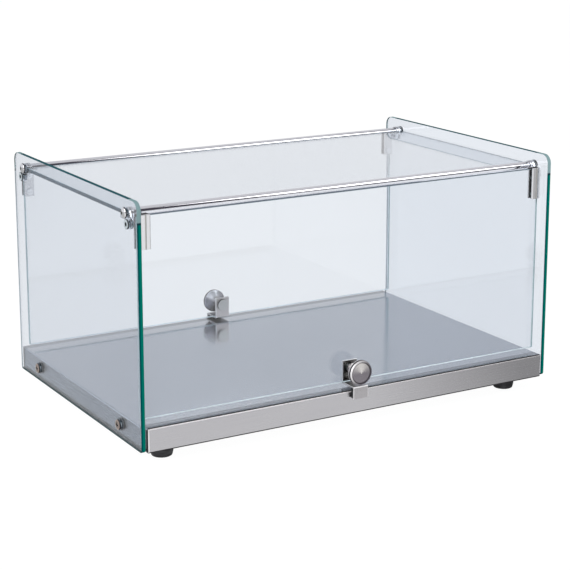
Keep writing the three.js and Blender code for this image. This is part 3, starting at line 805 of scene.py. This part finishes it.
def make_clip(end):
    """Folded strip: plate behind the glass, flange under it, plate in front with a rubber pad."""
    node = f"clip_{end}"
    low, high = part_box(node)
    out = outward(end)
    t, flange_top, soft = 2.0, 15.0, 0.5
    depth = (high.y - low.y) / MM
    height = (high.z - low.z) / MM
    outline = rounded([
        (0, height - 3, 0), (0, height, 0.8), (t, height, 0.8), (t, flange_top, 0.6),
        (depth, flange_top, 1.6), (depth, 0, 1.0), (depth - t, 0, 0.5),
        (depth - t, flange_top - t, 0.6), (0, flange_top - t, 2.2), (0, height - 3, 0),
    ])[:-1]
    back = high.y if end == "front" else low.y
    start = Vector((low.x, back, low.z))
    strip = prism(f"{node}_strip", outline, start, Vector((1, 0, 0)), out, Vector((0, 0, 1)),
                  high.x - low.x, clip_steel)
    # Painted highlight on the top edge and the bevels; painted shade on the plate's face against
    # the glass.
    paint(strip, painted_edge_highlight,
          lambda face: face.normal.z > 0.2 and 0.2 < face.normal.dot(out) < 0.99)
    flange_z = low.z + (flange_top + 1) * MM
    paint(strip, painted_shadow_steel,
          lambda face: face.normal.dot(out) > 0.99 and face.center.z > flange_z)
    paint(strip, plate_steel, lambda face: face.normal.dot(out) < -0.99)
    edge_bevel(strip, 0.7 * MM, 3, 50)
    strip.modifiers["bevel"].material = strip.data.materials.find(painted_edge_highlight.name)
    put(strip, f"door_{end}", "clip_steel", node)
    gap, thick = 0.25, 3.9
    inner, outer, top = depth - t - thick, depth - t - 0.05, flange_top - t - gap
    pad_outline = rounded([
        (inner, 4, 0), (inner, 0.8, soft), (outer, 0.8, soft), (outer, top, soft),
        (inner, top, soft), (inner, 4, 0),
    ])[:-1]
    start.x += 0.4 * MM
    pad = prism(f"{node}_pad", pad_outline, start, Vector((1, 0, 0)), out, Vector((0, 0, 1)),
                high.x - low.x - 0.8 * MM, pad_rubber)
    put(pad, f"door_{end}", "pad_rubber")


def make_clamp_cover(corner):
    """Outer hinge plate: a strip with chamfered sides and a groove down its middle."""
    end, side = corner.split("_")
    node = f"clamp_outer_{corner}"
    low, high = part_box(node)
    out = outward(end)
    back = high.y if end == "front" else low.y
    start = Vector((middle(node).x, back, low.z))
    w = (high.x - low.x) / 2 / MM
    t = (high.y - low.y) / MM
    outline = [(-w, 0), (w, 0), (w, t * 0.62), (w - 0.9, t * 0.86), (0.8, t), (0.6, t - 0.8),
               (-0.6, t - 0.8), (-0.8, t), (-w + 0.9, t * 0.86), (-w, t * 0.62)]
    cover = prism(f"{node}_cover", outline, start, Vector((0, 0, 1)), Vector((1, 0, 0)), out,
                  high.z - low.z, plate_chrome)

    def in_groove(face):
        place = (face.center - start) / MM
        upright = abs(face.normal.z) < 0.5
        return upright and abs(place.x) < 1 and t - 0.9 < place.dot(out) < t - 0.1

    # The groove is painted in the darker satin steel, a painted shade.
    paint(cover, satin_steel_and_groove_shade, in_groove)
    edge_bevel(cover, 0.3 * MM, 3, 25)
    put(cover, f"door_{end}", "chrome", node)


def dress_fittings():
    for end in ENDS:
        bolt = f"knob_bolt_{end}"
        # The sides of the knob bolts' heads are painted dark as shade.
        dress_by(bolt, (satin_steel_and_groove_shade, painted_dark_shade), lambda face: int(abs(face.normal.y) < 0.5))
        edge_bevel(NODES[bolt], 0.3 * MM, 2)
    for corner in CORNERS:
        dress(f"corner_bracket_{corner}", chrome, bevel=0.25 * MM)
        dress(f"clamp_inner_{corner}", plate_chrome, bevel=0.2 * MM)
        dress(f"clamp_pad_{corner}", pad_rubber)
        for level in ("lower", "upper"):
            dress(f"clamp_screw_{level}_{corner}", chrome, bevel=0.12 * MM)


# --- stage ---------------------------------------------------------------------------------------

def direction(azimuth, elevation):
    """From the case towards a camera or lamp at that azimuth and elevation, in degrees."""
    a, e = radians(azimuth), radians(elevation)
    return Vector((sin(a) * cos(e), -cos(a) * cos(e), sin(e)))


def make_camera():
    data = bpy.data.cameras.new("camera")
    data.lens = CAMERA_LENS
    data.sensor_width = 36
    data.shift_y = CAMERA_SHIFT
    camera = bpy.data.objects.new("camera", data)
    back = direction(CAMERA_AZIMUTH, CAMERA_ELEVATION)
    camera.location = AIM + back * CAMERA_DISTANCE
    camera.rotation_mode = "QUATERNION"
    camera.rotation_quaternion = (-back).to_track_quat("-Z", "Y")
    bpy.context.scene.collection.objects.link(camera)
    bpy.context.scene.camera = camera


def make_lamp(name, azimuth, elevation, distance, size, power):
    data = bpy.data.lights.new(name, "AREA")
    data.shape = "RECTANGLE"
    data.size, data.size_y = size
    data.energy = power
    lamp = bpy.data.objects.new(name, data)
    back = direction(azimuth, elevation)
    lamp.location = Vector((0, 0, 0.15)) + back * distance
    lamp.rotation_mode = "QUATERNION"
    lamp.rotation_quaternion = (-back).to_track_quat("-Z", "Y")
    bpy.context.scene.collection.objects.link(lamp)


def reflected_only(shader):
    """1 for a ray that a surface has thrown back, 0 for one seen directly or through glass."""
    path = shader.add("ShaderNodeLightPath")
    through = shader.maths("SUBTRACT", 1.0, path.outputs["Is Transmission Ray"])
    return shader.maths("MULTIPLY", path.outputs["Is Glossy Ray"], through)


def make_floor():
    """Pale floor, lit evenly.

    Reflections see it fall off to the right, dimmer along the left side and dark under the case.
    """
    shape = bmesh.new()
    bmesh.ops.create_grid(shape, x_segments=1, y_segments=1, size=FLOOR_HALF)
    shader = new_shader("floor")
    shader.tree.nodes.remove(shader.surface)
    place = shader.position()
    ahead = shader.maths("SUBTRACT", cad_box[0].y, place["Y"])
    course = shader.maths("SUBTRACT", place["X"],
                          shader.maths("MULTIPLY", ahead, tan(radians(-CAMERA_AZIMUTH))))
    falloff = shader.spread(course, 1.0, 0.42, cad_box[1].x * 0.1, cad_box[1].x * 0.95)
    beside = shader.spread(place["X"], 1, 0, cad_box[0].x - 0.02, cad_box[0].x)
    alongside = shader.spread(place["Y"], 0, 1, cad_box[0].y, cad_box[0].y + 0.03)
    shade = shader.spread(shader.maths("MULTIPLY", beside, alongside), 1, 0.45)
    falloff = shader.maths("MULTIPLY", falloff, shade)
    out_x = shader.spread(shader.maths("ABSOLUTE", place["X"]), 0.12, 1,
                          cad_box[1].x - 0.06, cad_box[1].x)
    out_y = shader.spread(shader.maths("ABSOLUTE", place["Y"]), 0.12, 1,
                          cad_box[1].y - 0.05, cad_box[1].y)
    open_floor = shader.maths("MAXIMUM", out_x, out_y)
    strength = shader.add("ShaderNodeMix", data_type="FLOAT")
    shader.join(reflected_only(shader), strength.inputs["Factor"])
    strength.inputs["A"].default_value = FLOOR_GLOW
    shader.join(shader.maths("MULTIPLY", falloff, open_floor), strength.inputs["B"])
    glow = shader.add("ShaderNodeEmission")
    shader.join(strength.outputs["Result"], glow.inputs["Strength"])
    dull = shader.add("ShaderNodeBsdfDiffuse")
    dull.inputs["Color"].default_value = (0.06, 0.06, 0.06, 1)
    total = shader.add("ShaderNodeAddShader")
    shader.join(glow.outputs["Emission"], total.inputs[0])
    shader.join(dull.outputs["BSDF"], total.inputs[1])
    shader.join(total.outputs["Shader"], shader.output.inputs["Surface"])
    mesh = bpy.data.meshes.new("floor")
    shape.to_mesh(mesh)
    shape.free()
    mesh.materials.append(shader.material)
    floor = bpy.data.objects.new("floor", mesh)
    bpy.context.scene.collection.objects.link(floor)


def make_world():
    """Soft room, pale all round. Reflections see it dark in front, up to the ceiling."""
    world = bpy.data.worlds.new("studio")
    bpy.context.scene.world = world
    shader = Shader(world)
    background = shader.tree.nodes["Background"]
    coordinates = shader.add("ShaderNodeTexCoord")
    split = shader.add("ShaderNodeSeparateXYZ")
    shader.join(coordinates.outputs["Generated"], split.inputs["Vector"])
    ramp = shader.add("ShaderNodeValToRGB")
    shader.join(split.outputs["Z"], ramp.inputs["Fac"])
    elements = ramp.color_ramp.elements
    while len(elements) < len(ROOM_TONES):
        elements.new(0.5)
    for element, (place, level) in zip(elements, ROOM_TONES):
        element.position = place
        element.color = (level * 0.985, level * 0.985, level * 1.02, 1)
    front = shader.spread(split.outputs["Y"], 1, 0, -0.35, -0.1)
    below_ceiling = shader.spread(split.outputs["Z"], 1, 0, 0.78, 0.86)
    dark = shader.maths("MULTIPLY", front, below_ceiling)
    dark = shader.maths("MULTIPLY", dark, reflected_only(shader))
    shader.join(shader.blend(dark, ramp.outputs["Color"], (0.07, 0.065, 0.08)),
                background.inputs["Color"])


# --- build ---------------------------------------------------------------------------------------

make_camera()
dress_glass()
dress_base()
dress_fittings()
for one_end in ENDS:
    make_rail(one_end)
    make_knob(one_end)
    make_clip(one_end)
for one_corner in CORNERS:
    make_foot(one_corner)
    make_bolts(one_corner)
    make_clamp_cover(one_corner)
make_floor()
make_world()
make_lamp("key", -60, 40, 2.2, (2.6, 1.8), 30)
make_lamp("fill", 40, 35, 2.4, (1.2, 1.2), 12)
bpy.context.scene.view_settings.view_transform = "Standard"
